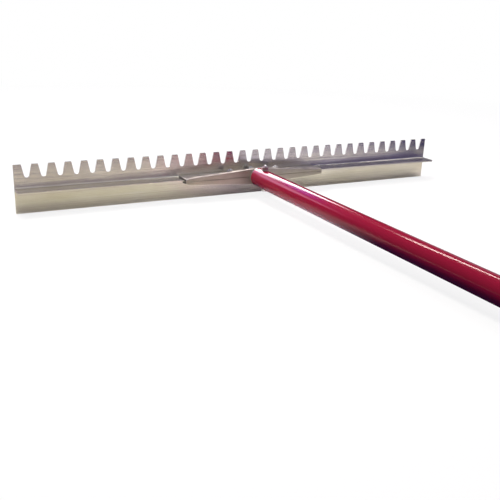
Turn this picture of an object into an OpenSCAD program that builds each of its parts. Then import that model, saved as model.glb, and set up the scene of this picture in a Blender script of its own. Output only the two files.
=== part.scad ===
// Lute rake: a toothed T-section blade, a two-half bolted brace and a tubular handle.
// Millimetres. X runs along the blade, the handle points along -Y, +Z is up.
// The origin is the middle of the straight edge, half-way through the plate.

/* [Blade] */
// Length of the blade from end to end (36 in)
blade_len = 914.4; // [700:0.1:1200]
// Height of the blade from the straight edge to the tooth tips
blade_h = 87.5; // [80:0.5:120]
// Thickness of the upright plate
plate_t = 3.2; // [3:0.1:6]
// How far the flange stands out from the front face of the plate (1 1/4 in)
flange_depth = 31.75; // [28:0.05:45]
// Height of the middle of the flange above the straight edge
flange_z = 43; // [40:0.5:50]
// Thickness of the flange
flange_t = 3.6; // [3:0.1:6]
// Radius of the fillets where the flange meets the plate
root_r = 2.5; // [1:0.1:2.8]

/* [Teeth] */
// Number of teeth along the top edge
tooth_count = 32; // [20:1:36]
// Distance from the middle of the first tooth to the left end of the blade
left_margin = 7.6; // [4:0.1:10]
// Distance from the middle of the last tooth to the right end of the blade
right_margin = 5.6; // [4:0.1:10]
// Width of a notch at the tooth tips
notch_mouth = 17.5; // [12:0.1:20]
// Depth of a notch below the tooth tips
notch_depth = 23.2; // [15:0.1:30]
// Radius of the round bottom of a notch
notch_root_r = 4.5; // [2:0.1:5]

/* [Brace] */
// Length of the brace along the blade (12 in)
brace_len = 304.8; // [200:0.1:400]
// Thickness of the foot that is bolted to the flange
foot_t = 3; // [2.8:0.1:5]
// Thickness of the front wall
wall_t = 8; // [5:0.1:12]
// Height of the wall above the middle of the flange, at the handle
wall_mid_rise = 16.2; // [14:0.1:24]
// Height of the wall above the middle of the flange, at its ends
wall_end_rise = 5.8; // [5.6:0.1:12]
// Radius of the rounded ends of the wall
tip_r = 5; // [2:0.1:5.4]
// Gap between the two halves, so that they grip the flange
half_gap = 0.4; // [0.2:0.1:1]
// Gap between the front edge of the flange and the wall
edge_gap = 0.25; // [0.1:0.05:0.6]
// Gap between the foot and the end of the root fillet
foot_gap = 0.5; // [0.2:0.1:2]

/* [Fasteners] */
// Diameter of the bolts (1/4 in)
bolt_d = 6.35; // [5:0.05:8]
// Width across the flats of the bolt heads and nuts (7/16 in)
hex_af = 11.1; // [10:0.1:13]
// Height of a bolt head
head_h = 4; // [3:0.1:6]
// Height of a nut
nut_h = 5.6; // [4:0.1:7]
// Diameter of the flat washers
washer_d = 15.9; // [13:0.1:18]
// Thickness of the flat washers
washer_t = 1.65; // [1:0.05:2]
// Diameter of the lock washer under the handle nut
lock_washer_d = 12.4; // [11.5:0.1:15]
// Thickness of the lock washer
lock_washer_t = 1.6; // [1:0.1:2.2]
// Width of the slit in the lock washer
lock_washer_slit = 1; // [0.6:0.1:1.5]
// Slant of that slit from the upright, in degrees
lock_washer_slant = 30; // [0:1:40]
// Radial clearance of a bolt in its hole
hole_clear = 0.35; // [0.15:0.05:0.6]
// Radial clearance of a bolt in its nut
thread_clear = 0.05; // [0.03:0.01:0.1]
// Thread that shows past a brace nut
brace_thread_out = 2.2; // [1:0.1:6]
// Thread that shows past the handle nut
handle_thread_out = 3; // [1:0.1:8]
// Distance of the two side bolts from the middle of the brace
side_bolt_x = 51; // [40:0.5:90]
// Gap between the washers of the side bolts and the wall
side_washer_gap = 2.5; // [1:0.1:3]
// Gap between the washer of the middle bolt and the plate
mid_washer_gap = 3.5; // [3:0.1:6]
// Gap under the handle nut, so that it turns
nut_seat_gap = 0.1; // [0.05:0.05:0.3]
// Gap between a flat seat and the round top of the tube
crest_gap = 0.05; // [0.02:0.01:0.1]

/* [Handle] */
// Outer diameter of the tube (1 7/16 in)
handle_d = 36.5; // [32:0.1:42]
// Wall thickness of the tube
handle_wall = 1.65; // [1.2:0.05:3]
// Length of the tube (7 ft)
handle_len = 2134; // [1200:1:2500]
// Length of tang that shows between the brace and the tube
tang_show = 6; // [2:0.1:12]
// Length of tang inside the tube
tang_in = 50; // [45:1:120]
// Radial clearance of the tang and of the cap's plug in the tube
bore_clear = 0.15; // [0.05:0.05:0.3]
// Distance of the handle bolt from the head end of the tube
handle_bolt_inset = 25; // [20:0.5:30]
// Length of the end cap's plug inside the tube
cap_plug_len = 25; // [15:1:40]
// Length of the end cap's head past the tube
cap_head_len = 6; // [5:0.1:10]
// Radius of the end cap's rounded rim
cap_round = 4; // [1:0.1:4.5]

/* [Hidden] */
$fn = 64;
eps = 0.5;
plate_front = -plate_t / 2;
flange_front = plate_front - flange_depth;
flange_top = flange_t / 2;
wall_back = flange_front - edge_gap;
wall_front = wall_back - wall_t;
foot_back = plate_front - root_r - foot_gap;
foot_top = flange_top + foot_t;

notch_count = tooth_count - 1;
tooth_pitch = (blade_len - left_margin - right_margin) / notch_count;
first_notch_x = left_margin + tooth_pitch / 2 - blade_len / 2;
// The notch sides are tangent to its round bottom: lean of a side from the vertical
notch_reach = notch_depth - notch_root_r;
notch_lean = acos(notch_root_r / norm([notch_mouth / 2, notch_reach]))
    - atan2(notch_reach, notch_mouth / 2);

hole_d = bolt_d + 2 * hole_clear;
nut_bore = bolt_d + 2 * thread_clear;
hex_corner_d = hex_af / cos(30);
hex_chamfer = (hex_corner_d - hex_af) / 2 * tan(30);
thread_chamfer = bolt_d / 8;
grip = flange_t + 2 * (foot_t + washer_t);
brace_bolt_len = grip + nut_h + brace_thread_out;
side_bolt_y = wall_back + side_washer_gap + washer_d / 2;
mid_bolt_y = plate_front - mid_washer_gap - washer_d / 2;
bolt_places = [[-side_bolt_x, side_bolt_y], [0, mid_bolt_y], [side_bolt_x, side_bolt_y]];

handle_r = handle_d / 2;
bore_r = handle_r - handle_wall;
tang_r = bore_r - bore_clear;
tang_len = tang_show + tang_in;
tube_head = wall_front - tang_show;
tube_end = tube_head - handle_len;
handle_bolt_y = tube_head - handle_bolt_inset;
crest = handle_r + crest_gap;
handle_nut_z = crest + lock_washer_t + nut_seat_gap;
handle_bolt_len = crest + handle_nut_z + nut_h + handle_thread_out;

// Outline of one notch, with its mouth on the X axis and its bottom below it
module notch_outline() {
    side = [cos(notch_lean), -sin(notch_lean)] * notch_root_r;
    low = [side[0], side[1] - notch_reach];
    top = [notch_mouth / 2 + eps * tan(notch_lean), eps];
    translate([0, -notch_reach]) circle(notch_root_r);
    polygon([[-top[0], top[1]], [-low[0], low[1]], low, top]);
}

// Cross-section of the blade, Y to the right and Z up
module blade_section() {
    translate([plate_front, 0]) square([plate_t, blade_h]);
    translate([flange_front, flange_z - flange_top]) square([flange_depth + plate_t / 2, flange_t]);
    for (up = [0, 1]) {
        translate([plate_front, flange_z]) mirror([0, up]) translate([-root_r, flange_top])
            difference() {
                translate([0, -eps]) square([root_r + eps, root_r + eps]);
                translate([0, root_r]) circle(root_r);
            }
    }
}

// Six-sided block on Z = 0, with its corners turned off at one or both ends
module hex_block(height, both_ends) {
    low = both_ends ? hex_chamfer : 0;
    intersection() {
        cylinder(d = hex_corner_d, h = height, $fn = 6);
        rotate_extrude() polygon([
            [0, 0],
            [both_ends ? hex_af / 2 : hex_corner_d / 2 + eps, 0],
            [hex_corner_d / 2 + (both_ends ? 0 : eps), low],
            [hex_corner_d / 2 + (both_ends ? 0 : eps), height - hex_chamfer],
            [hex_af / 2, height],
            [0, height]
        ]);
    }
}

// Bolt pointing up, with the seat of its head on Z = 0
module hex_bolt(length) {
    mirror([0, 0, 1]) hex_block(head_h, false);
    rotate_extrude() polygon([
        [0, -eps],
        [bolt_d / 2, -eps],
        [bolt_d / 2, length - thread_chamfer],
        [bolt_d / 2 - thread_chamfer, length],
        [0, length]
    ]);
}

module hex_nut() {
    difference() {
        hex_block(nut_h, true);
        translate([0, 0, -eps]) cylinder(d = nut_bore, h = nut_h + 2 * eps);
    }
}

module flat_washer() {
    difference() {
        cylinder(d = washer_d, h = washer_t);
        translate([0, 0, -eps]) cylinder(d = hole_d, h = washer_t + 2 * eps);
    }
}

// Places its children at one of the three brace bolts, at a height from the flange's middle
module at_brace_bolt(i, z) {
    translate([bolt_places[i][0], bolt_places[i][1], flange_z + z]) children();
}

// Outline of one half of the front wall, Z up from the middle of the flange
module wall_outline() {
    half = brace_len / 2;
    slope = atan2(wall_mid_rise - wall_end_rise, half);
    tip_x = half - tip_r;
    tip_z = wall_mid_rise - tip_x * tan(slope) - tip_r / cos(slope);
    lean = [tip_r * sin(slope), tip_r * cos(slope)];
    for (side = [-1, 1]) translate([side * tip_x, tip_z]) circle(tip_r);
    polygon([
        [-half, half_gap / 2],
        [half, half_gap / 2],
        [half, tip_z],
        [tip_x + lean[0], tip_z + lean[1]],
        [0, wall_mid_rise],
        [-tip_x - lean[0], tip_z + lean[1]],
        [-half, tip_z]
    ]);
}

// One half of the brace, above the middle of the flange
module brace_half() {
    difference() {
        union() {
            translate([-brace_len / 2, wall_back - eps, flange_top])
                cube([brace_len, foot_back - wall_back + eps, foot_t]);
            intersection() {
                translate([0, wall_back, 0]) rotate([90, 0, 0]) linear_extrude(wall_t) wall_outline();
                translate([-brace_len, wall_front - eps, half_gap / 2])
                    cube([2 * brace_len, wall_t + 2 * eps, 2 * wall_mid_rise]);
            }
            intersection() {
                translate([0, wall_front + eps, 0])
                    rotate([90, 0, 0]) cylinder(r = tang_r, h = tang_len + eps);
                translate([-handle_r, wall_front - tang_len - eps, half_gap / 2])
                    cube([handle_d, tang_len + 2 * eps, handle_d]);
            }
        }
        for (place = bolt_places)
            translate([place[0], place[1], 0]) cylinder(d = hole_d, h = foot_top + eps);
        translate([0, handle_bolt_y, 0]) cylinder(d = hole_d, h = handle_d);
    }
}

module blade() {
    color("#b4ad98") difference() {
        rotate([90, 0, 90]) linear_extrude(blade_len, center = true) blade_section();
        for (i = [0 : notch_count - 1])
            translate([first_notch_x + i * tooth_pitch, plate_t, blade_h])
                rotate([90, 0, 0]) linear_extrude(2 * plate_t) notch_outline();
        for (place = bolt_places)
            translate([place[0], place[1], flange_z - flange_t]) cylinder(d = hole_d, h = 2 * flange_t);
    }
}

module upper_brace() {
    color("#a79f88") translate([0, 0, flange_z]) brace_half();
}

module lower_brace() {
    color("#a79f88") translate([0, 0, flange_z]) mirror([0, 0, 1]) brace_half();
}

module brace_bolt(i) {
    color("#c9cabf") at_brace_bolt(i, -foot_top - washer_t) hex_bolt(brace_bolt_len);
}

module brace_nut(i) {
    color("#c9cabf") at_brace_bolt(i, foot_top + washer_t) hex_nut();
}

module upper_washer(i) {
    color("#b9bab2") at_brace_bolt(i, foot_top) flat_washer();
}

module lower_washer(i) {
    color("#b9bab2") at_brace_bolt(i, -foot_top - washer_t) flat_washer();
}

module handle_tube() {
    color("#8e1a36") difference() {
        translate([0, tube_head, flange_z]) rotate([90, 0, 0]) difference() {
            cylinder(r = handle_r, h = handle_len);
            translate([0, 0, -eps]) cylinder(r = bore_r, h = handle_len + 2 * eps);
        }
        translate([0, handle_bolt_y, flange_z - handle_d]) cylinder(d = hole_d, h = 2 * handle_d);
    }
}

module handle_bolt() {
    color("#c9cabf") translate([0, handle_bolt_y, flange_z - crest]) hex_bolt(handle_bolt_len);
}

module handle_lock_washer() {
    color("#8d8c84") translate([0, handle_bolt_y, flange_z + crest]) difference() {
        cylinder(d = lock_washer_d, h = lock_washer_t);
        translate([0, 0, -eps]) cylinder(d = hole_d, h = lock_washer_t + 2 * eps);
        rotate([lock_washer_slant, 0, 0]) translate([0, -lock_washer_slit / 2, -lock_washer_t])
            cube([lock_washer_d, lock_washer_slit, 4 * lock_washer_t]);
    }
}

module handle_nut() {
    color("#c9cabf") translate([0, handle_bolt_y, flange_z + handle_nut_z]) hex_nut();
}

module handle_end_cap() {
    color("#1c1c1c") translate([0, tube_end, flange_z]) rotate([90, 0, 0]) rotate_extrude() {
        translate([0, -cap_plug_len]) square([bore_r - bore_clear, cap_plug_len + eps]);
        square([handle_r, cap_head_len - cap_round]);
        square([handle_r - cap_round, cap_head_len]);
        translate([handle_r - cap_round, cap_head_len - cap_round]) intersection() {
            circle(cap_round);
            square(cap_round);
        }
    }
}

blade();
upper_brace();
lower_brace();
brace_bolt(0);  // left_brace_bolt
brace_bolt(1);  // middle_brace_bolt
brace_bolt(2);  // right_brace_bolt
brace_nut(0);  // left_brace_nut
brace_nut(1);  // middle_brace_nut
brace_nut(2);  // right_brace_nut
upper_washer(0);  // left_upper_washer
upper_washer(1);  // middle_upper_washer
upper_washer(2);  // right_upper_washer
lower_washer(0);  // left_lower_washer
lower_washer(1);  // middle_lower_washer
lower_washer(2);  // right_lower_washer
handle_tube();
handle_bolt();
handle_lock_washer();
handle_nut();
handle_end_cap();
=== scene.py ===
import math

import bmesh
import bpy
from mathutils import Matrix, Vector


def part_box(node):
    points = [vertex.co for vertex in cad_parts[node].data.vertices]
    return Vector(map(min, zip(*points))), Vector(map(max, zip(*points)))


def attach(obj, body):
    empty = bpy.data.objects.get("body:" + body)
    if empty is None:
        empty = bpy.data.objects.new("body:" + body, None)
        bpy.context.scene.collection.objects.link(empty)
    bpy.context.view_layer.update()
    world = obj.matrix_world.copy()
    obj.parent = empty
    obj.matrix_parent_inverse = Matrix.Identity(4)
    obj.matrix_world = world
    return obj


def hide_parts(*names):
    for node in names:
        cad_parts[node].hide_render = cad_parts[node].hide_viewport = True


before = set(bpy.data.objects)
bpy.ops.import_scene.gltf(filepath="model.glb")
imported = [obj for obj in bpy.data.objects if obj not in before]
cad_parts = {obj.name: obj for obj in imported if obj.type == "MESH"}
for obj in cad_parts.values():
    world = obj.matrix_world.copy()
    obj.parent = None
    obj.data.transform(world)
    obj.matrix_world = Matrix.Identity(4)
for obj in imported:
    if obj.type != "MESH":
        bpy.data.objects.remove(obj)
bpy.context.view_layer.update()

# Blade
# One aluminium T-section extrusion in its mill finish, with notches punched along the upper edge.
# The plate's lower edge is the straight edge, and the flange across its middle carries the brace.
mm = 0.001
blade_low, blade_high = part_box("blade")
blade_end = blade_high.x
tip_height = blade_high.z
plate_back = blade_high.y
plate_front = -plate_back
flange_front = blade_low.y
flange_half = 1.8 * mm
root_round = 2.5 * mm
middle_height = sum(corner.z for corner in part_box("handle_tube")) / 2
notch_count = 31
left_tooth_middle = 7.6 * mm - blade_end
right_tooth_middle = blade_end - 5.6 * mm
notch_pitch = (right_tooth_middle - left_tooth_middle) / notch_count
notch_mouth = 17.5 * mm
notch_depth = 23.2 * mm
notch_round = 4.5 * mm
below_notches = 6 * mm
solid_height = tip_height - notch_depth - below_notches
fillet_steps = 6
notch_steps = 14
blade_edge_round = 0.35 * mm
bolt_hole_radius = 3.525 * mm
bolt_hole_sides = 48
flange_hole_low, flange_hole_high = 30 * mm, 55 * mm
merge_distance = 0.001 * mm
seam_distance = 0.005 * mm
sharp_angle = 40


class Wire:
    """A node socket that can stand in an expression with numbers and other wires."""

    def __init__(self, wiring, socket):
        self.wiring = wiring
        self.socket = socket

    def other(self, name):
        """Another output of the same node."""
        return Wire(self.wiring, self.socket.node.outputs[name])

    def math(self, operation, first, second=0.0):
        """A Math node on one or two values."""
        return self.wiring.node("ShaderNodeMath", {"operation": operation}, {0: first, 1: second})

    def __add__(self, value):
        return self.math("ADD", self, value)

    def __sub__(self, value):
        return self.math("SUBTRACT", self, value)

    def __rsub__(self, value):
        return self.math("SUBTRACT", value, self)

    def __mul__(self, value):
        return self.math("MULTIPLY", self, value)

    def __truediv__(self, value):
        return self.math("DIVIDE", self, value)

    def __rtruediv__(self, value):
        return self.math("DIVIDE", value, self)

    def __abs__(self):
        return self.math("ABSOLUTE", self)

    __radd__ = __add__
    __rmul__ = __mul__


class Wiring:
    """A node tree, with one way of adding a node to it."""

    def __init__(self, tree):
        self.tree = tree

    def node(self, kind, settings=None, sockets=None, output=0):
        """A new node, with a value, a wire or a list of wires on a socket. Returns one output."""
        made = self.tree.nodes.new(kind)
        for name, value in (settings or {}).items():
            setattr(made, name, value)
        for key, value in (sockets or {}).items():
            by_identifier = [s for s in made.inputs if s.identifier == key]
            entry = by_identifier[0] if by_identifier else made.inputs[key]
            for one in value if isinstance(value, list) else [value]:
                if isinstance(one, Wire):
                    self.tree.links.new(one.socket, entry)
                else:
                    entry.default_value = one
        return Wire(self, made.outputs[output]) if made.outputs else None

    def rise(self, value, low, high):
        """Goes from 0 to 1 as a value goes from low to high, where low may be the larger."""
        sockets = {"Value": value, "From Min": low, "From Max": high}
        return self.node("ShaderNodeMapRange", {"clamp": True}, sockets)

    def blend(self, share, first, second):
        """A colour between two colours, each an RGB triple or a wire."""
        colours = [c if isinstance(c, Wire) else (*c, 1.0) for c in (first, second)]
        sockets = {"Factor_Float": share, "A_Color": colours[0], "B_Color": colours[1]}
        return self.node("ShaderNodeMix", {"data_type": "RGBA"}, sockets, 2)


class Finish(Wiring):
    """A material made of procedural nodes on the piece's Object coordinates."""

    def __init__(self, name):
        self.material = bpy.data.materials.new(name)
        self.material.use_nodes = True
        super().__init__(self.material.node_tree)
        self.tree.nodes.clear()
        self.place = self.node("ShaderNodeTexCoord", output="Object")

    def stretched(self, x, y, z):
        """Object coordinates, multiplied along each axis."""
        sockets = {0: self.place, 1: (x, y, z)}
        return self.node("ShaderNodeVectorMath", {"operation": "MULTIPLY"}, sockets)

    def noise(self, place, scale, detail=3.0, roughness=0.5):
        """Cloudy noise from 0 to 1."""
        sockets = {"Vector": place, "Scale": scale, "Detail": detail, "Roughness": roughness}
        return self.node("ShaderNodeTexNoise", {}, sockets, "Fac")

    def bump(self, height, strength, distance):
        """A normal that follows a height over the surface."""
        sockets = {"Height": height, "Strength": strength, "Distance": distance}
        return self.node("ShaderNodeBump", {}, sockets)

    def surface(self, **sockets):
        """Ends the tree in one surface shader and returns the material."""
        named = {key.replace("_", " "): value for key, value in sockets.items()}
        shader = self.node("ShaderNodeBsdfPrincipled", {}, named)
        self.node("ShaderNodeOutputMaterial", {}, {"Surface": shader})
        return self.material


def new_object(name, data):
    """A new object at the origin, in the scene."""
    made = bpy.data.objects.new(name, data)
    bpy.context.scene.collection.objects.link(made)
    return made


def object_from(bm, name):
    """A new object that holds this mesh, with doubles merged and faces outwards."""
    bmesh.ops.remove_doubles(bm, verts=bm.verts, dist=merge_distance)
    bmesh.ops.recalc_face_normals(bm, faces=bm.faces)
    mesh = bpy.data.meshes.new(name)
    bm.to_mesh(mesh)
    bm.free()
    return new_object(name, mesh)


def settle(piece, smooth_below=sharp_angle):
    """Turns what the modifiers give into a plain mesh, shaded smooth below an angle in degrees."""
    shown = piece.evaluated_get(bpy.context.evaluated_depsgraph_get())
    piece.data = bpy.data.meshes.new_from_object(shown)
    piece.modifiers.clear()
    piece.data.shade_smooth()
    piece.data.set_sharp_from_angle(angle=math.radians(smooth_below))


def discard(piece):
    """Takes a helper solid out of the scene."""
    bpy.data.objects.remove(piece, do_unlink=True)


def combine(piece, other, operation):
    """Joins another solid to a piece or cuts it away, and discards that solid."""
    boolean = piece.modifiers.new(operation, "BOOLEAN")
    boolean.operation = operation
    boolean.solver = "EXACT"
    boolean.object = other
    settle(piece)
    bm = bmesh.new()
    bm.from_mesh(piece.data)
    bmesh.ops.remove_doubles(bm, verts=bm.verts, dist=merge_distance)
    bm.to_mesh(piece.data)
    bm.free()
    discard(other)


def soften(piece, width, steps=2):
    """Rounds the sharp edges of a piece."""
    bevel = piece.modifiers.new("rounded edges", "BEVEL")
    bevel.width = width
    bevel.segments = steps
    bevel.limit_method = "ANGLE"
    bevel.angle_limit = math.radians(sharp_angle)
    bevel.harden_normals = True


def arc(centre, radius, start, end, steps):
    """Points on a circle, from one angle in degrees to another."""
    angles = [math.radians(start + (end - start) * i / steps) for i in range(steps + 1)]
    return [(centre[0] + radius * math.cos(a), centre[1] + radius * math.sin(a)) for a in angles]


def blade_section():
    """The T-section below the notches as (y, z) points, from its upper front to its upper back."""
    top = middle_height + flange_half
    bottom = middle_height - flange_half
    fillet_y = plate_front - root_round
    return [
        (plate_front, solid_height),
        *arc((fillet_y, top + root_round), root_round, 0, -90, fillet_steps),
        (flange_front, top),
        (flange_front, bottom),
        *arc((fillet_y, bottom - root_round), root_round, 90, 0, fillet_steps),
        (plate_front, 0.0),
        (plate_back, 0.0),
        (plate_back, solid_height),
    ]


def notch_edge():
    """The upper edge over one pitch as (x, z) points: half a tooth, the notch, half a tooth."""
    reach = notch_depth - notch_round
    half_mouth = notch_mouth / 2
    lean = math.acos(notch_round / math.hypot(half_mouth, reach)) - math.atan2(reach, half_mouth)
    lean = math.degrees(lean)
    bottom = arc((0.0, tip_height - reach), notch_round, 180 + lean, 360 - lean, notch_steps)
    half_pitch = notch_pitch / 2
    left = [(-half_pitch, tip_height), (-half_mouth, tip_height)]
    right = [(half_mouth, tip_height), (half_pitch, tip_height)]
    return left + bottom + right


def add_blade_length(bm, start, end, edge):
    """A length of the blade along X, open at both ends, with this upper edge. Returns its faces."""
    punched = bm.faces.layers.float["punched"]
    faces = []
    section = blade_section()
    for near, far in zip(section, section[1:]):
        corners = [(start, *near), (end, *near), (end, *far), (start, *far)]
        faces.append(bm.faces.new([bm.verts.new(c) for c in corners]))
    for y in (plate_front, plate_back):
        side = [(start, y, solid_height), (end, y, solid_height)]
        side += [(x, y, z) for x, z in reversed(edge)]
        faces.append(bm.faces.new([bm.verts.new(c) for c in side]))
    for (x0, z0), (x1, z1) in zip(edge, edge[1:]):
        corners = [(x0, plate_front, z0), (x1, plate_front, z1)]
        corners += [(x1, plate_back, z1), (x0, plate_back, z0)]
        faces.append(bm.faces.new([bm.verts.new(c) for c in corners]))
        faces[-1][punched] = 0.0 if z0 == z1 == tip_height else 1.0
    return faces


def blade_lengths():
    """One notched pitch in the middle, marked as the length that repeats, and two plain ends."""
    bm = bmesh.new()
    repeats = bm.faces.layers.bool.new("repeats")
    bm.faces.layers.float.new("punched")
    for face in add_blade_length(bm, -notch_pitch / 2, notch_pitch / 2, notch_edge()):
        face[repeats] = True
    for inner, outer in ((left_tooth_middle, -blade_end), (right_tooth_middle, blade_end)):
        add_blade_length(bm, inner, outer, [(inner, tip_height), (outer, tip_height)])
        rim = blade_section() + [(plate_back, tip_height), (plate_front, tip_height)]
        bm.faces.new([bm.verts.new((outer, y, z)) for y, z in rim])
    return object_from(bm, "toothed_blade")


def mill_finish():
    """Drawn aluminium with fine lines and khaki stains, frosty notches and painted shade on the
    tooth tips.
    """
    finish = Finish("mill_finish_aluminium")
    stain = finish.rise(finish.noise(finish.stretched(1, 2, 3), 7.0, 5.0, 0.6), 0.35, 0.7)
    lines = finish.noise(finish.stretched(2.5, 1100, 1100), 1.0, 4.0, 0.6)
    punched = finish.node("ShaderNodeAttribute", {"attribute_name": "punched"}, output="Fac")
    height = finish.node("ShaderNodeSeparateXYZ", {}, {0: finish.place}, "Z")
    # The tooth tips are darkened as painted shade, and made rougher.
    tip_shade_low = tip_height - 1.2 * blade_edge_round
    tip_shade_high = tip_height - 0.8 * blade_edge_round
    tip_shade = finish.rise(height, tip_shade_low, tip_shade_high)
    drawn = finish.blend(stain * 0.8 + lines * 0.2, (0.77, 0.75, 0.69), (0.67, 0.635, 0.53))
    cut = finish.blend(punched, drawn, (0.86, 0.86, 0.84))
    return finish.surface(
        Base_Color=finish.blend(tip_shade, cut, (0.16, 0.15, 0.15)),
        Metallic=1.0 - punched * 0.75,
        Roughness=0.15 + stain * 0.05 + lines * 0.06 + punched * 0.3 + tip_shade * 0.4,
        Normal=finish.bump(lines, 0.8, 0.4 * mm),
    )


def geometry_tree(name, **inputs):
    """The wiring of a new Geometry Nodes tree with inputs of these kinds, and its input node."""
    tree = bpy.data.node_groups.new(name, "GeometryNodeTree")
    for label, kind in inputs.items():
        tree.interface.new_socket(label, in_out="INPUT", socket_type=f"NodeSocket{kind}")
    tree.interface.new_socket("Geometry", in_out="OUTPUT", socket_type="NodeSocketGeometry")
    wiring = Wiring(tree)
    return wiring, wiring.node("NodeGroupInput")


def use_tree(piece, tree, **values):
    """Sets a Geometry Nodes tree on a piece, with values for its named inputs."""
    modifier = piece.modifiers.new(tree.name, "NODES")
    modifier.node_group = tree
    for item in tree.interface.items_tree:
        if item.in_out == "INPUT" and item.name in values:
            modifier[item.identifier] = values[item.name]


def repeat_lengths(piece, material):
    """Repeats the marked length along the blade, joins the ends to the row and closes the seams."""
    kinds = {"Notches": "Int", "Pitch": "Float", "Start": "Float"}
    rows, given = geometry_tree("row of notches", Geometry="Geometry", **kinds, Metal="Material")
    pitch = given.other("Pitch")
    kind = {"data_type": "BOOLEAN"}
    marked = rows.node("GeometryNodeInputNamedAttribute", kind, {"Name": "repeats"})
    chosen = {"Geometry": given, "Selection": marked}
    parts = rows.node("GeometryNodeSeparateGeometry", {"domain": "FACE"}, chosen)
    step = rows.node("ShaderNodeCombineXYZ", {}, {"X": pitch})
    first = rows.node("ShaderNodeCombineXYZ", {}, {"X": given.other("Start") + pitch * 0.5})
    line = {"Count": given.other("Notches"), "Start Location": first, "Offset": step}
    places = rows.node("GeometryNodeMeshLine", {}, line)
    row = rows.node("GeometryNodeInstanceOnPoints", {}, {"Points": places, "Instance": parts})
    whole = rows.node("GeometryNodeJoinGeometry", {}, {"Geometry": [row, parts.other("Inverted")]})
    real = rows.node("GeometryNodeRealizeInstances", {}, {"Geometry": whole})
    seams = {"Geometry": real, "Distance": seam_distance}
    closed = rows.node("GeometryNodeMergeByDistance", {}, seams)
    metal = {"Geometry": closed, "Material": given.other("Metal")}
    dressed = rows.node("GeometryNodeSetMaterial", {}, metal)
    rows.node("NodeGroupOutput", {}, {"Geometry": dressed})
    sizes = {"Notches": notch_count, "Pitch": notch_pitch, "Start": left_tooth_middle}
    use_tree(piece, rows.tree, **sizes, Metal=material)
    settle(piece)


def upright_rods(name, places, low, high):
    """Rods at these (x, y) places, to cut bolt holes with; none has a corner on its X axis."""
    bm = bmesh.new()
    half_side = Matrix.Rotation(math.pi / bolt_hole_sides, 4, "Z")
    for x, y in places:
        bmesh.ops.create_cone(
            bm,
            cap_ends=True,
            segments=bolt_hole_sides,
            radius1=bolt_hole_radius,
            radius2=bolt_hole_radius,
            depth=high - low,
            matrix=Matrix.Translation((x, y, (low + high) / 2)) @ half_side,
        )
    return object_from(bm, name)


def bolt_place(node):
    """The (x, y) of the axis of an upright bolt."""
    low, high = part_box(node)
    return ((low.x + high.x) / 2, (low.y + high.y) / 2)


brace_bolt_nodes = [f"{side}_brace_bolt" for side in ("left", "middle", "right")]
brace_bolt_places = [bolt_place(node) for node in brace_bolt_nodes]
handle_bolt_place = bolt_place("handle_bolt")

blade = blade_lengths()
repeat_lengths(blade, mill_finish())
flange_holes = upright_rods("flange_holes", brace_bolt_places, flange_hole_low, flange_hole_high)
combine(blade, flange_holes, "DIFFERENCE")
soften(blade, blade_edge_round)
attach(blade, "tool")
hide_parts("blade")

# Brace halves
# Two mirror-image aluminium castings, linished to a dull satin, that clamp the flange between them.
# Each has a flat foot on the flange, a tapered front wall and half of the round tang that enters
# the handle. The bolts through the feet hold them together.
brace_low, brace_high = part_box("upper_brace")
brace_end = brace_high.x
seam = brace_low.z - middle_height
wall_gap = 0.25 * mm
wall_thickness = 8 * mm
wall_back = flange_front - wall_gap
wall_front = wall_back - wall_thickness
wall_middle_rise = 16.2 * mm
wall_end_rise = 5.8 * mm
wall_tip_round = 5 * mm
wall_tip_steps = 8
wall_edge_round = 0.7 * mm
foot_thickness = 3 * mm
foot_edge_round = 0.5 * mm
tang_radius = 16.45 * mm
tang_end = brace_low.y
tang_edge_round = 0.5 * mm
tang_steps = 48
foot_overlap = 2 * mm
tang_overlap = 0.6 * mm
brace_round_steps = 3
end_facing = 0.85


def slab(name, outline, depth, edge_round, place, edge_highlight=0.0, shaded_ends=0.0, painted_lighter=0.0):
    """A solid of this (u, v) outline between two depths, put in the frame by place.

    From 0 to 1, worn paints a highlight on its rounded edges except along the lowest v, rubbed
    paints its faces lighter, and cast paints shade on its two ends.
    """
    bm = bmesh.new()
    edge = bm.faces.layers.float.new("edge")
    skin = bm.faces.layers.float.new("skin")
    rings = [[bm.verts.new((u, v, w)) for u, v in outline] for w in depth]
    bm.faces.new(rings[0])
    bm.faces.new(rings[1])
    count = len(outline)
    for i in range(count):
        after = (i + 1) % count
        bm.faces.new([rings[0][i], rings[0][after], rings[1][after], rings[1][i]])
    # Every face first gets its share of painted lightening.
    for face in bm.faces:
        face[edge] = painted_lighter
    bmesh.ops.recalc_face_normals(bm, faces=bm.faces)
    sharp = [e for e in bm.edges if e.calc_face_angle() > math.radians(sharp_angle)]
    curve = {"offset": edge_round, "segments": brace_round_steps, "profile": 0.5}
    rounded = bmesh.ops.bevel(bm, geom=sharp, affect="EDGES", **curve)
    # The rounded faces, all but those along the lowest v, get the painted highlight.
    lowest = min(v for u, v in outline)
    for face in rounded["faces"]:
        if face.calc_center_median().y > lowest + 2 * edge_round:
            face[edge] = edge_highlight
    bm.normal_update()
    # Faces that look along X, the two ends, get the painted shade.
    for face in bm.faces:
        if abs(face.normal.x) > end_facing:
            face[skin] = shaded_ends
    for vertex in bm.verts:
        vertex.co = place(*vertex.co)
    return object_from(bm, name)


def wall_outline():
    """The front wall above the seam as (x, height) points, high at the handle, low at its ends."""
    half_slope = math.atan2(wall_middle_rise - wall_end_rise, brace_end)
    tip_x = brace_end - wall_tip_round
    tip_z = wall_middle_rise - tip_x * math.tan(half_slope) - wall_tip_round / math.cos(half_slope)
    tip_end = 90 - math.degrees(half_slope)
    right = arc((tip_x, tip_z), wall_tip_round, 0, tip_end, wall_tip_steps)
    left = [(-x, z) for x, z in reversed(right)]
    return [(-brace_end, seam), (brace_end, seam), *right, (0.0, wall_middle_rise), *left]


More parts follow.
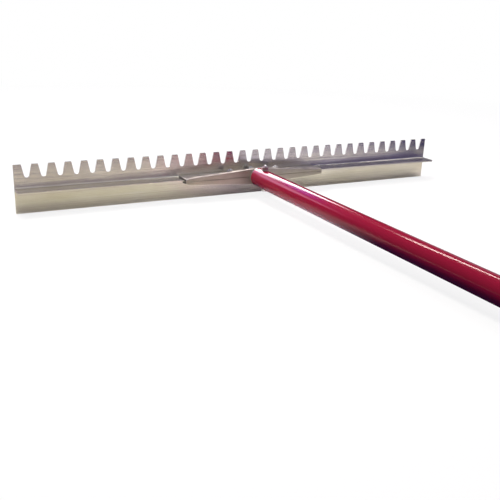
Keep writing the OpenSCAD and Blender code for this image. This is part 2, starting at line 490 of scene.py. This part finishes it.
def linished_casting():
    """Linished aluminium casting with painted highlights on edges and faces and painted shade on
    ends.
    """
    finish = Finish("linished_cast_aluminium")
    cloud = finish.noise(finish.stretched(1, 1, 1), 45.0, 4.0)
    scratches = finish.noise(finish.stretched(60, 900, 900), 1.0, 3.0, 0.65)
    pits = finish.noise(finish.stretched(1, 1, 1), 900.0, 2.0)
    # The edge layer holds the painted highlight and lightening, the other the painted shade on the
    # ends.
    edge_highlight = finish.node("ShaderNodeAttribute", {"attribute_name": "edge"}, output="Fac")
    skin = finish.node("ShaderNodeAttribute", {"attribute_name": "skin"}, output="Fac")
    dull = finish.blend(cloud * 0.7 + scratches * 0.3, (0.55, 0.51, 0.43), (0.40, 0.365, 0.30))
    painted_lighter = finish.blend(edge_highlight, dull, (0.86, 0.85, 0.80))
    return finish.surface(
        Base_Color=finish.blend(skin, painted_lighter, (0.04, 0.035, 0.035)),
        Metallic=1.0 - skin * 0.6,
        Roughness=0.42 + cloud * 0.1 + scratches * 0.08 - edge_highlight * 0.18,
        Normal=finish.bump(scratches * 0.6 + pits * 0.4, 0.1, 0.15 * mm),
    )


brace_metal = linished_casting()
for half, up in (("upper", 1), ("lower", -1)):
    def upright(x, z, y):
        return (x, y, middle_height + up * z)

    def lying(x, y, z):
        return (x, y, middle_height + up * z)

    foot_front = wall_back - foot_overlap
    foot_outline = [(-brace_end, foot_front), (brace_end, foot_front)]
    foot_outline += [(brace_end, brace_high.y), (-brace_end, brace_high.y)]
    foot_depth = (flange_half, flange_half + foot_thickness)
    foot_place = (foot_outline, foot_depth, foot_edge_round, lying)
    seam_angle = math.degrees(math.asin(seam / tang_radius))
    tang_outline = arc((0.0, 0.0), tang_radius, seam_angle, 180 - seam_angle, tang_steps)
    tang_depth = (tang_end, wall_front + tang_overlap)
    tang_place = (tang_outline, tang_depth, tang_edge_round, upright)
    wall_place = (wall_outline(), (wall_front, wall_back), wall_edge_round, upright)
    # Painted highlights on the rounded edges, painted shade on the ends, and a foot painted
    # lighter.
    brace = slab(f"brace_{half}_half", *wall_place, edge_highlight=1.0, shaded_ends=1.0)
    combine(brace, slab("foot", *foot_place, edge_highlight=0.6, shaded_ends=1.0, painted_lighter=0.6), "UNION")
    combine(brace, slab("tang", *tang_place), "UNION")
    holes = brace_bolt_places + [handle_bolt_place]
    combine(brace, upright_rods("holes", holes, 0, tip_height), "DIFFERENCE")
    brace.data.materials.clear()
    brace.data.materials.append(brace_metal)
    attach(brace, "tool")
    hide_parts(f"{half}_brace")

# Brace bolts, nuts and washers
# Three zinc-plated hexagon bolts pass up through the lower half, the flange and the upper half.
# Each has a flat washer under its head and another under its nut, with some thread past the nut.
bolt_radius = 3.175 * mm
thread_pitch = 1.27 * mm
thread_depth = 0.7 * mm
across_flats = 11.1 * mm
corner_radius = across_flats / math.sqrt(3)
crown_radius = 0.97 * across_flats / 2
chamfer_slope = math.tan(math.radians(30))
chamfer_drop = (corner_radius - crown_radius) * chamfer_slope
head_height = 4 * mm
thread_below_nut = 1 * mm
thread_tip = 0.9 * mm
thread_tip_taper = 0.75 * mm
thread_rings_per_turn = 10
thread_run_in_rings = 5
nut_clearance = 0.05 * mm
nut_sink = 0.5 * mm
hexagon_sides = 72
washer_edge_round = 0.35 * mm
washer_round_steps = 3
washer_sides = 64
fastener_sharp_angle = 30


def turned(name, rings, sides, closed=False):
    """A mesh of rings about the Z axis, each a radius, a height and how deep its thread is, if any.

    A radius may be a function of the angle. A closed mesh runs from the last ring to the first.
    """
    bm = bmesh.new()
    thread = bm.verts.layers.float.new("thread")
    rows = []
    for radius, height, *threaded in rings:
        row = []
        for i in range(sides):
            angle = 2 * math.pi * i / sides
            reach = radius(angle) if callable(radius) else radius
            vertex = bm.verts.new((reach * math.cos(angle), reach * math.sin(angle), height))
            vertex[thread] = threaded[0] if threaded else 0.0
            row.append(vertex)
        rows.append(row)
    pairs = list(zip(rows, rows[1:]))
    if closed:
        pairs.append((rows[-1], rows[0]))
    for low, high in pairs:
        for i in range(sides):
            after = (i + 1) % sides
            bm.faces.new([low[i], low[after], high[after], high[i]])
    if not closed:
        bm.faces.new(rows[0])
        bm.faces.new(rows[-1])
    return object_from(bm, name)


def hexagon(limit):
    """The radius of a hexagon at an angle, turned down to a limit at its corners."""
    def radius(angle):
        from_flat = (angle % (math.pi / 3)) - math.pi / 6
        return min(across_flats / 2 / math.cos(from_flat), limit)
    return radius


def chamfer(height, towards, steps=4):
    """Rings of the turned-off corners at one end of a hexagon, at this height."""
    rings = []
    for i in range(steps + 1):
        limit = corner_radius - (corner_radius - crown_radius) * i / steps
        rise = (corner_radius - limit) * chamfer_slope
        rings.append((hexagon(limit), height + towards * rise))
    return rings


def bolt_rings(seat, end, thread_start):
    """A bolt from the crown of its head, below its seat, to the chamfered end of its thread."""
    rings = list(reversed(chamfer(seat - head_height + chamfer_drop, -1)))
    rings += [(hexagon(corner_radius), seat), (bolt_radius, seat), (bolt_radius, thread_start)]
    thread_length = end - thread_tip - thread_start
    steps = round(thread_length / thread_pitch * thread_rings_per_turn)
    for i in range(steps + 1):
        height = thread_start + thread_length * i / steps
        rings.append((bolt_radius, height, min(1.0, i / thread_run_in_rings)))
    return rings + [(bolt_radius - thread_tip_taper, end, 0.0)]


def nut_rings(low, high):
    """A nut with both ends chamfered and a countersunk bore, as a closed loop of rings."""
    bore = bolt_radius + nut_clearance
    mouth = bore + nut_sink
    outside = list(reversed(chamfer(low + chamfer_drop, -1))) + chamfer(high - chamfer_drop, 1)
    return outside + [(mouth, high), (bore, high - nut_sink), (bore, low + nut_sink), (mouth, low)]


def washer_rings(low, high, inner, outer):
    """A flat washer with its outer edges rounded, as a closed loop of rings."""
    r = washer_edge_round
    lower = [(outer - r + x, low + r + z) for x, z in arc((0, 0), r, -90, 0, washer_round_steps)]
    upper = [(outer - r + x, high - r + z) for x, z in arc((0, 0), r, 0, 90, washer_round_steps)]
    return [(inner, low)] + lower + upper + [(inner, high)]


def zinc_plate(name, light, dark):
    """Zinc plating with a faint bloom between two greys."""
    finish = Finish(name)
    bloom = finish.noise(finish.stretched(1, 1, 1), 260.0, 4.0, 0.6)
    return finish.surface(
        Base_Color=finish.blend(bloom, light, dark),
        Metallic=1.0,
        Roughness=0.3 + bloom * 0.16,
        Normal=finish.bump(bloom, 0.1, 0.1 * mm),
    )


def thread_and_place_tree():
    """Cuts the thread where a piece is marked as threaded, and sets copies of it on points."""
    inputs = {"Geometry": "Geometry", "Piece": "Object", "Pitch": "Float", "Depth": "Float"}
    inputs |= {"Turn": "Float", "Seed": "Int", "Metal": "Material"}
    work, given = geometry_tree("threaded pieces on places", **inputs)
    plain = work.node("GeometryNodeObjectInfo", {}, {"Object": given.other("Piece")}, "Geometry")
    x = work.node("ShaderNodeSeparateXYZ", {}, {0: work.node("GeometryNodeInputPosition")})
    y, z = x.other("Y"), x.other("Z")
    angle = x.math("ARCTAN2", y, x)
    turns = z / given.other("Pitch") - angle / (2 * math.pi)
    valley = abs(turns.math("FRACT", turns) * 2 - 1)
    kind = {"data_type": "FLOAT"}
    marked = work.node("GeometryNodeInputNamedAttribute", kind, {"Name": "thread"})
    cut = valley * marked * given.other("Depth") * -1
    inward_x = x.math("COSINE", angle) * cut
    inward_y = x.math("SINE", angle) * cut
    inward = work.node("ShaderNodeCombineXYZ", {}, {"X": inward_x, "Y": inward_y})
    threaded = work.node("GeometryNodeSetPosition", {}, {"Geometry": plain, "Offset": inward})
    chance = {"Min_001": 0.0, "Max_001": given.other("Turn"), "Seed": given.other("Seed")}
    turn = work.node("FunctionNodeRandomValue", kind, chance, 1)
    rotation = work.node("ShaderNodeCombineXYZ", {}, {"Z": turn})
    spots = {"Points": given, "Instance": threaded, "Rotation": rotation}
    placed = work.node("GeometryNodeInstanceOnPoints", {}, spots)
    real = work.node("GeometryNodeRealizeInstances", {}, {"Geometry": placed})
    metal = {"Geometry": real, "Material": given.other("Metal")}
    dressed = work.node("GeometryNodeSetMaterial", {}, metal)
    work.node("NodeGroupOutput", {}, {"Geometry": dressed})
    return work.tree


fastener_tree = thread_and_place_tree()


def set_on_places(name, piece, places, material, turn=0.0, seed=0):
    """Copies of a piece on (x, y) places, as one plain mesh; the piece itself is discarded.

    Each copy is turned about its axis by chance, by up to this many radians.
    """
    points = bpy.data.meshes.new(name)
    points.from_pydata([(x, y, 0.0) for x, y in places], [], [])
    copies = new_object(name, points)
    thread = {"Pitch": thread_pitch, "Depth": thread_depth}
    use_tree(copies, fastener_tree, Piece=piece, **thread, Turn=turn, Seed=seed, Metal=material)
    settle(copies, fastener_sharp_angle)
    discard(piece)
    return copies


zinc = zinc_plate("zinc_plated_steel", (0.74, 0.75, 0.72), (0.56, 0.57, 0.55))
bolt_low, bolt_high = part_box("left_brace_bolt")
nut_low, nut_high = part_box("left_brace_nut")
seat_height = bolt_low.z + head_height
rings = bolt_rings(seat_height, bolt_high.z, nut_low.z - thread_below_nut)
bolt = turned("bolt", rings, hexagon_sides)
brace_bolts = set_on_places("brace_bolt_set", bolt, brace_bolt_places, zinc, turn=1.0, seed=3)
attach(brace_bolts, "tool")
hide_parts(*brace_bolt_nodes)

nut = turned("nut", nut_rings(nut_low.z, nut_high.z), hexagon_sides, closed=True)
brace_nuts = set_on_places("brace_nut_set", nut, brace_bolt_places, zinc, turn=1.0, seed=8)
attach(brace_nuts, "tool")
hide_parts(*[node.replace("bolt", "nut") for node in brace_bolt_nodes])

for level in ("upper", "lower"):
    washer_low, washer_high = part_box(f"left_{level}_washer")
    washer_radius = (washer_high.x - washer_low.x) / 2
    rings = washer_rings(washer_low.z, washer_high.z, bolt_hole_radius, washer_radius)
    washer = turned("washer", rings, washer_sides, closed=True)
    washers = set_on_places(f"brace_{level}_washer_set", washer, brace_bolt_places, zinc)
    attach(washers, "tool")
    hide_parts(*[f"{side}_{level}_washer" for side in ("left", "middle", "right")])

# Handle tube
# A round steel tube in gloss red enamel, pushed over the tang and held there by the cross bolt.
# Its ends are cut square and deburred, so the enamel thins to bare metal on the rim.
tube_low, tube_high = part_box("handle_tube")
tube_radius = tube_high.x
tube_wall = 1.65 * mm
tube_rim_round = 0.5 * mm
tube_rim_steps = 3
tube_length = tube_high.y - tube_low.y
tube_sides = 144
tube_bands = 48
tube_band_growth = 2.5


def along_handle(piece, start):
    """Lays a piece that was turned about Z along the handle, from a place on Y to its far end."""
    for vertex in piece.data.vertices:
        x, y, z = vertex.co
        vertex.co = (x, start - z, middle_height + y)


def tube_rings():
    """The tube's wall with rounded rims, as a closed loop of rings, closest at the head end."""
    r = tube_rim_round
    inner = tube_radius - tube_wall
    head_rim = arc((inner + r, r), r, 180, 270, tube_rim_steps)
    head_rim += arc((tube_radius - r, r), r, 270, 360, tube_rim_steps)
    tail_rim = [(a, tube_length - z) for a, z in reversed(head_rim)]
    shares = [(i / tube_bands) ** tube_band_growth for i in range(1, tube_bands)]
    outer = [(tube_radius, r + (tube_length - 2 * r) * share) for share in shares]
    return head_rim + outer + tail_rim


def red_enamel(head):
    """Gloss crimson enamel with a slightly rippled surface and bare steel on the head end's rim."""
    finish = Finish("gloss_red_enamel")
    ripple = finish.noise(finish.stretched(60, 8, 60), 1.0, 2.0)
    peel = finish.noise(finish.stretched(1, 1, 1), 420.0, 2.0)
    shade = finish.noise(finish.stretched(10, 3, 10), 1.0, 3.0)
    y = finish.node("ShaderNodeSeparateXYZ", {}, {0: finish.place}, "Y")
    chips = finish.noise(finish.stretched(1, 1, 1), 700.0, 3.0)
    from_rim = (head - y) / mm + chips * 0.8
    bare = finish.rise(from_rim, 2.2, 1.2)
    paint = finish.blend(shade, (0.27, 0.006, 0.030), (0.235, 0.005, 0.026))
    return finish.surface(
        Base_Color=finish.blend(bare, paint, (0.62, 0.55, 0.52)),
        Metallic=bare * 0.9,
        Roughness=0.1 + peel * 0.05,
        Specular_IOR_Level=0.36,
        Normal=finish.bump(ripple * 0.85 + peel * 0.15, 0.16, 0.25 * mm),
    )


handle = turned("handle_shaft", tube_rings(), tube_sides, closed=True)
along_handle(handle, tube_high.y)
combine(handle, upright_rods("holes", [handle_bolt_place], 0, tip_height), "DIFFERENCE")
handle.data.materials.clear()
handle.data.materials.append(red_enamel(tube_high.y))
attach(handle, "tool")
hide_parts("handle_tube")

# Handle bolt, spring washer and nut
# One zinc-plated bolt passes up through the tube and the tang, with its head below the tube.
# A split spring washer sits on the crest of the tube under the nut, which turns on the thread.
cross_low, cross_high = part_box("handle_bolt")
handle_nut_low, handle_nut_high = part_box("handle_nut")
spring_low, spring_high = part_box("handle_lock_washer")
spring_radius = (spring_high.x - spring_low.x) / 2
spring_slit_angle = 10
spring_lean_angle = 8
spring_steps = 60
spring_edge_round = 0.2 * mm


def spring_washer():
    """A ring of square wire with a leaning slit, at the bolt of the handle."""
    bm = bmesh.new()
    rows = []
    for i in range(spring_steps + 1):
        along = spring_slit_angle / 2 + (360 - spring_slit_angle) * i / spring_steps
        corners = []
        for radius, height, lean in (
            (bolt_hole_radius, spring_low.z, -1),
            (spring_radius, spring_low.z, -1),
            (spring_radius, spring_high.z, 1),
            (bolt_hole_radius, spring_high.z, 1),
        ):
            angle = math.radians(along + lean * spring_lean_angle / 2)
            x = handle_bolt_place[0] + radius * math.cos(angle)
            y = handle_bolt_place[1] + radius * math.sin(angle)
            corners.append(bm.verts.new((x, y, height)))
        rows.append(corners)
    for near, far in zip(rows, rows[1:]):
        for i in range(4):
            after = (i + 1) % 4
            bm.faces.new([near[i], near[after], far[after], far[i]])
    bm.faces.new(rows[0])
    bm.faces.new(rows[-1])
    return object_from(bm, "handle_spring_washer")


def spring_steel():
    """Plated spring steel, duller than the zinc of the bolts."""
    finish = Finish("plated_spring_steel")
    bloom = finish.noise(finish.stretched(1, 1, 1), 300.0, 4.0, 0.6)
    return finish.surface(
        Base_Color=finish.blend(bloom, (0.42, 0.42, 0.40), (0.24, 0.24, 0.23)),
        Metallic=1.0,
        Roughness=0.3 + bloom * 0.2,
    )


rings = bolt_rings(cross_low.z + head_height, cross_high.z, spring_low.z)
bolt = turned("bolt", rings, hexagon_sides)
cross_bolt = set_on_places("handle_cross_bolt", bolt, [handle_bolt_place], zinc)
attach(cross_bolt, "tool")
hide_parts("handle_bolt")

spring = spring_washer()
soften(spring, spring_edge_round)
spring.data.materials.append(spring_steel())
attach(spring, "tool")
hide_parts("handle_lock_washer")

rings = nut_rings(handle_nut_low.z, handle_nut_high.z)
nut = turned("nut", rings, hexagon_sides, closed=True)
# The handle nut's dark maroon greys are a painted reflection of the red tube.
zinc_with_painted_red = zinc_plate("dull_zinc_plated_steel", (0.34, 0.22, 0.24), (0.20, 0.12, 0.14))
handle_nut = set_on_places("handle_hex_nut", nut, [handle_bolt_place], zinc_with_painted_red)
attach(handle_nut, "handle_nut")
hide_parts("handle_nut")

# Handle end cap
# A black plastic plug pressed into the far end of the tube, outside the frame of the photo.
# It is moulded in one piece, with a rounded head that covers the cut rim of the tube.
cap_low, cap_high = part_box("handle_end_cap")
cap_length = cap_high.y - cap_low.y
cap_head = 6 * mm
cap_round = 4 * mm
cap_round_steps = 10
cap_edge = 0.3 * mm
cap_sides = 96
plug_radius = 16.45 * mm
plug_lead = 1.2 * mm


def cap_rings():
    """The plug and the head from the inner end to the flat outer face."""
    plug_end = cap_length - cap_head
    crown_middle = (tube_radius - cap_round, cap_length - cap_round)
    return [
        (plug_radius - plug_lead, 0.0),
        (plug_radius, plug_lead),
        (plug_radius, plug_end),
        (tube_radius - cap_edge, plug_end),
        (tube_radius, plug_end + cap_edge),
        *arc(crown_middle, cap_round, 0, 90, cap_round_steps),
    ]


def moulded_plastic():
    """Black moulded plastic with a fine spark-eroded grain."""
    finish = Finish("moulded_black_plastic")
    grain = finish.noise(finish.stretched(1, 1, 1), 1500.0, 2.0)
    rub = finish.noise(finish.stretched(1, 1, 1), 60.0, 4.0)
    return finish.surface(
        Base_Color=finish.blend(rub, (0.022, 0.022, 0.023), (0.038, 0.037, 0.036)),
        Roughness=0.42 + rub * 0.15,
        Normal=finish.bump(grain, 0.25, 0.1 * mm),
    )


cap = turned("handle_end_plug", cap_rings(), cap_sides)
along_handle(cap, cap_high.y)
settle(cap)
cap.data.materials.append(moulded_plastic())
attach(cap, "tool")
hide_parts("handle_end_cap")

# Floor
# A plain pale floor that touches the straight edge and the far end of the handle. Seen directly it
# is white with the soft shadow of the rake. The metal mirrors it in tones of painted light and
# shade: warm around the head, with painted shade under the flange and a painted pool of light by
# the blade, a painted red glow and pale painted light along the handle, painted shade farther out
# and at the far right, and a middle tone behind the blade.
floor_half = 60.0
floor_rise = math.atan2(cap_low.z, -cap_low.y)
floor_drop = floor_half * math.tan(floor_rise)
floor_corners = [(-1, -1), (1, -1), (1, 1), (-1, 1)]
floor_points = [(x * floor_half, y * floor_half, -y * floor_drop) for x, y in floor_corners]
floor_mesh = bpy.data.meshes.new("floor")
floor_mesh.from_pydata(floor_points, [], [(0, 1, 2, 3)])
floor = new_object("floor", floor_mesh)
shadow_share = 0.15


def pale_floor():
    """White with a shadow near the rake for the camera, in painted light and shade for other rays.
    """
    look = Finish("pale_floor")
    camera_ray = look.node("ShaderNodeLightPath", output="Is Camera Ray")
    shown = camera_ray.math("MAXIMUM", camera_ray, camera_ray.other("Is Transmission Ray"))
    x = look.node("ShaderNodeSeparateXYZ", {}, {0: look.place})
    y = x.other("Y")
    to_right = look.rise(x, -0.2, 0.4)
    reach = x + y * 0.85
    # Painted shade under the flange, a painted pool of light by the blade, violet shade in the
    # middle.
    under_head = look.blend(to_right, (0.60, 0.575, 0.49), (0.72, 0.71, 0.63))
    under_flange = look.blend(to_right, (0.47, 0.46, 0.37), (0.65, 0.64, 0.57))
    under_head = look.blend(look.rise(y, -0.14, -0.09), under_head, under_flange)
    under_head = look.blend(look.rise(y, -0.06, 0.0), under_head, (0.97, 0.95, 0.88))
    under_head = look.blend(look.rise(abs(x), 0.14, 0.02) * 0.6, under_head, (0.66, 0.57, 0.68))
    in_front = look.blend(look.rise(reach, -0.45, -0.1), (0.60, 0.57, 0.48), (0.64, 0.63, 0.70))
    in_front = look.blend(look.rise(reach, 0.1, 0.25), in_front, (0.40, 0.39, 0.47))
    tone = look.blend(look.rise(y, -0.15, -0.20), under_head, in_front)
    # A painted red glow beside the handle and pale painted light under it.
    by_handle = look.rise(abs(x + 0.06), 0.08, 0.03)
    by_handle = by_handle * look.rise(y, -0.08, -0.13) * look.rise(y, -0.24, -0.18)
    tone = look.blend(by_handle * 0.5, tone, (0.82, 0.46, 0.50))
    under_handle = look.rise(abs(x - 0.02), 0.05, 0.03) * look.rise(y, -0.10, -0.15)
    tone = look.blend(under_handle * 0.8, tone, (0.90, 0.90, 1.0))
    # Painted shade at the far right and farther out, and a middle tone behind the blade.
    far_right = look.rise(reach, 0.34, 0.41) * look.rise(y, -0.12, -0.17)
    tone = look.blend(far_right, tone, (0.015, 0.02, 0.09))
    tone = look.blend(look.rise(y, -0.28, -0.42), tone, (0.05, 0.03, 0.13))
    behind = look.blend(look.rise(y, 0.05, 0.4), (0.42, 0.40, 0.34), (0.10, 0.08, 0.12))
    tone = look.blend(look.rise(y, 0.002, 0.008), tone, behind)
    tone = look.blend(shown, tone, (0.92, 0.92, 0.92))
    lit = look.node("ShaderNodeBsdfDiffuse", {}, {"Color": tone})
    white = look.node("ShaderNodeEmission", {}, {"Color": (1.0, 1.0, 1.0, 1.0), "Strength": 1.0})
    away = look.node("ShaderNodeVectorMath", {"operation": "LENGTH"}, {0: look.place}, "Value")
    far = look.rise(away, 0.8, 2.2) * shadow_share + (1 - shadow_share)
    mixed = look.node("ShaderNodeMixShader", {}, {0: shown * far, 1: lit, 2: white})
    look.node("ShaderNodeOutputMaterial", {}, {"Surface": mixed})
    return look.material


floor.data.materials.append(pale_floor())

# Studio light
# A ceiling lamp that the metal doesn't mirror, two small lamps on the right and a narrow one at the
# front left, three panes behind the blade, and a strip for the handle. The room is dim: pale in
# front with violet on both sides, and dark at the back apart from a grey patch at the far right.
room = bpy.data.worlds.new("studio")
room.use_nodes = True
bpy.context.scene.world = room
room_wiring = Wiring(room.node_tree)
room.node_tree.nodes.clear()
towards = room_wiring.node("ShaderNodeTexCoord", output="Generated")
to_right = room_wiring.node("ShaderNodeSeparateXYZ", {}, {0: towards})
to_back = to_right.other("Y")
upwards = to_right.other("Z")
left_share = room_wiring.rise(to_right, 0.12, -0.15)
right_share = room_wiring.rise(to_right, 0.1, 0.57)
front_tone = room_wiring.blend(right_share, (0.82, 0.77, 0.74), (0.09, 0.08, 0.22))
front_tone = room_wiring.blend(left_share, front_tone, (0.12, 0.11, 0.28))
back_tone = room_wiring.blend(right_share, (0.13, 0.11, 0.13), (0.02, 0.015, 0.04))
far_right_share = room_wiring.rise(to_right, 0.60, 0.66) * room_wiring.rise(upwards, 0.08, 0.16)
back_tone = room_wiring.blend(far_right_share, back_tone, (0.38, 0.36, 0.42))
dim_tone = room_wiring.blend(room_wiring.rise(to_back, -0.5, 0.2), front_tone, back_tone)
camera_ray = room_wiring.node("ShaderNodeLightPath", output="Is Camera Ray")
room_tone = room_wiring.blend(camera_ray, dim_tone, (1.0, 1.0, 1.0))
sky = room_wiring.node("ShaderNodeBackground", {}, {"Color": room_tone, "Strength": 1.0})
room_wiring.node("ShaderNodeOutputWorld", {}, {"Surface": sky})


def pane(
    name,
    seen_from,
    azimuth,
    elevation,
    distance,
    width,
    height,
    radiance,
    colour=(1.0, 1.0, 1.0),
    spread=180,
    mirrored=True,
):
    """A soft lamp that faces a point from a direction, with azimuth from +Y towards +X.

    Width and height are the angles that it fills as seen from there, and spread is how wide it
    shines, all in degrees. A lamp that isn't mirrored lights the rake but stays out of its gloss.
    """
    lamp = bpy.data.lights.new(name, "AREA")
    lamp.shape = "RECTANGLE"
    lamp.size = 2 * distance * math.tan(math.radians(width / 2))
    lamp.size_y = 2 * distance * math.tan(math.radians(height / 2))
    lamp.energy = radiance * math.pi * lamp.size * lamp.size_y
    lamp.color = colour
    lamp.spread = math.radians(spread)
    holder = new_object(name, lamp)
    a, e = math.radians(azimuth), math.radians(elevation)
    way = Vector((math.sin(a) * math.cos(e), math.cos(a) * math.cos(e), math.sin(e)))
    holder.location = Vector(seen_from) + way * distance
    holder.rotation_mode = "QUATERNION"
    holder.rotation_quaternion = way.to_track_quat("Z", "Y")
    holder.visible_glossy = mirrored


head = (0.0, -0.2, 0.06)
grip = (0.0, -0.6, 0.06)
heel = (0.0, -0.14, 0.02)
# Each takes a point, an azimuth, an elevation, a distance, a width, a height and a radiance.
pane("ceiling lamp", head, -54, 70, 2.05, 26, 16, 27.0, (1.0, 0.97, 0.90), mirrored=False)
pane("top lamp", head, 90, 66, 2.2, 8, 9, 8.0)
pane("side lamp", head, 90, 42.5, 2.37, 6.5, 8.5, 5.0)
pane("fill lamp", heel, -140, 35, 1.6, 42, 4, 0.55, spread=14)
pane("bright pane", head, 13, 27, 2.2, 30, 10, 13.0, (1.0, 0.94, 1.0))
pane("dim pane", head, -16, 24, 2.2, 26, 12, 3.2, (0.95, 0.62, 0.95))
pane("violet pane", head, -1, 35, 2.2, 26, 4.2, 2.6, (0.1, 0.1, 1.0))
pane("strip lamp", grip, 23.5, 43.5, 2.2, 24, 2.5, 27.0, (1.0, 0.85, 0.80))

# Camera
# The viewpoint of the photograph: left of the handle, above it, looking down at the head.
# Its place, angles and lens are fitted to the blade, the flange, the brace and the handle.
camera_place = (-0.6604, -1.2421, 0.3677)
camera_heading = 28.467
camera_tilt = -19.299
camera_roll = 2.428
lens_data = bpy.data.cameras.new("photo view")
lens_data.lens = 50.936
lens_data.sensor_width = 36.0
camera = new_object("photo view", lens_data)
camera.matrix_world = (
    Matrix.Translation(camera_place)
    @ Matrix.Rotation(math.radians(-camera_heading), 4, "Z")
    @ Matrix.Rotation(math.radians(90 + camera_tilt), 4, "X")
    @ Matrix.Rotation(math.radians(camera_roll), 4, "Z")
)
bpy.context.scene.camera = camera
bpy.context.scene.view_settings.view_transform = "Standard"
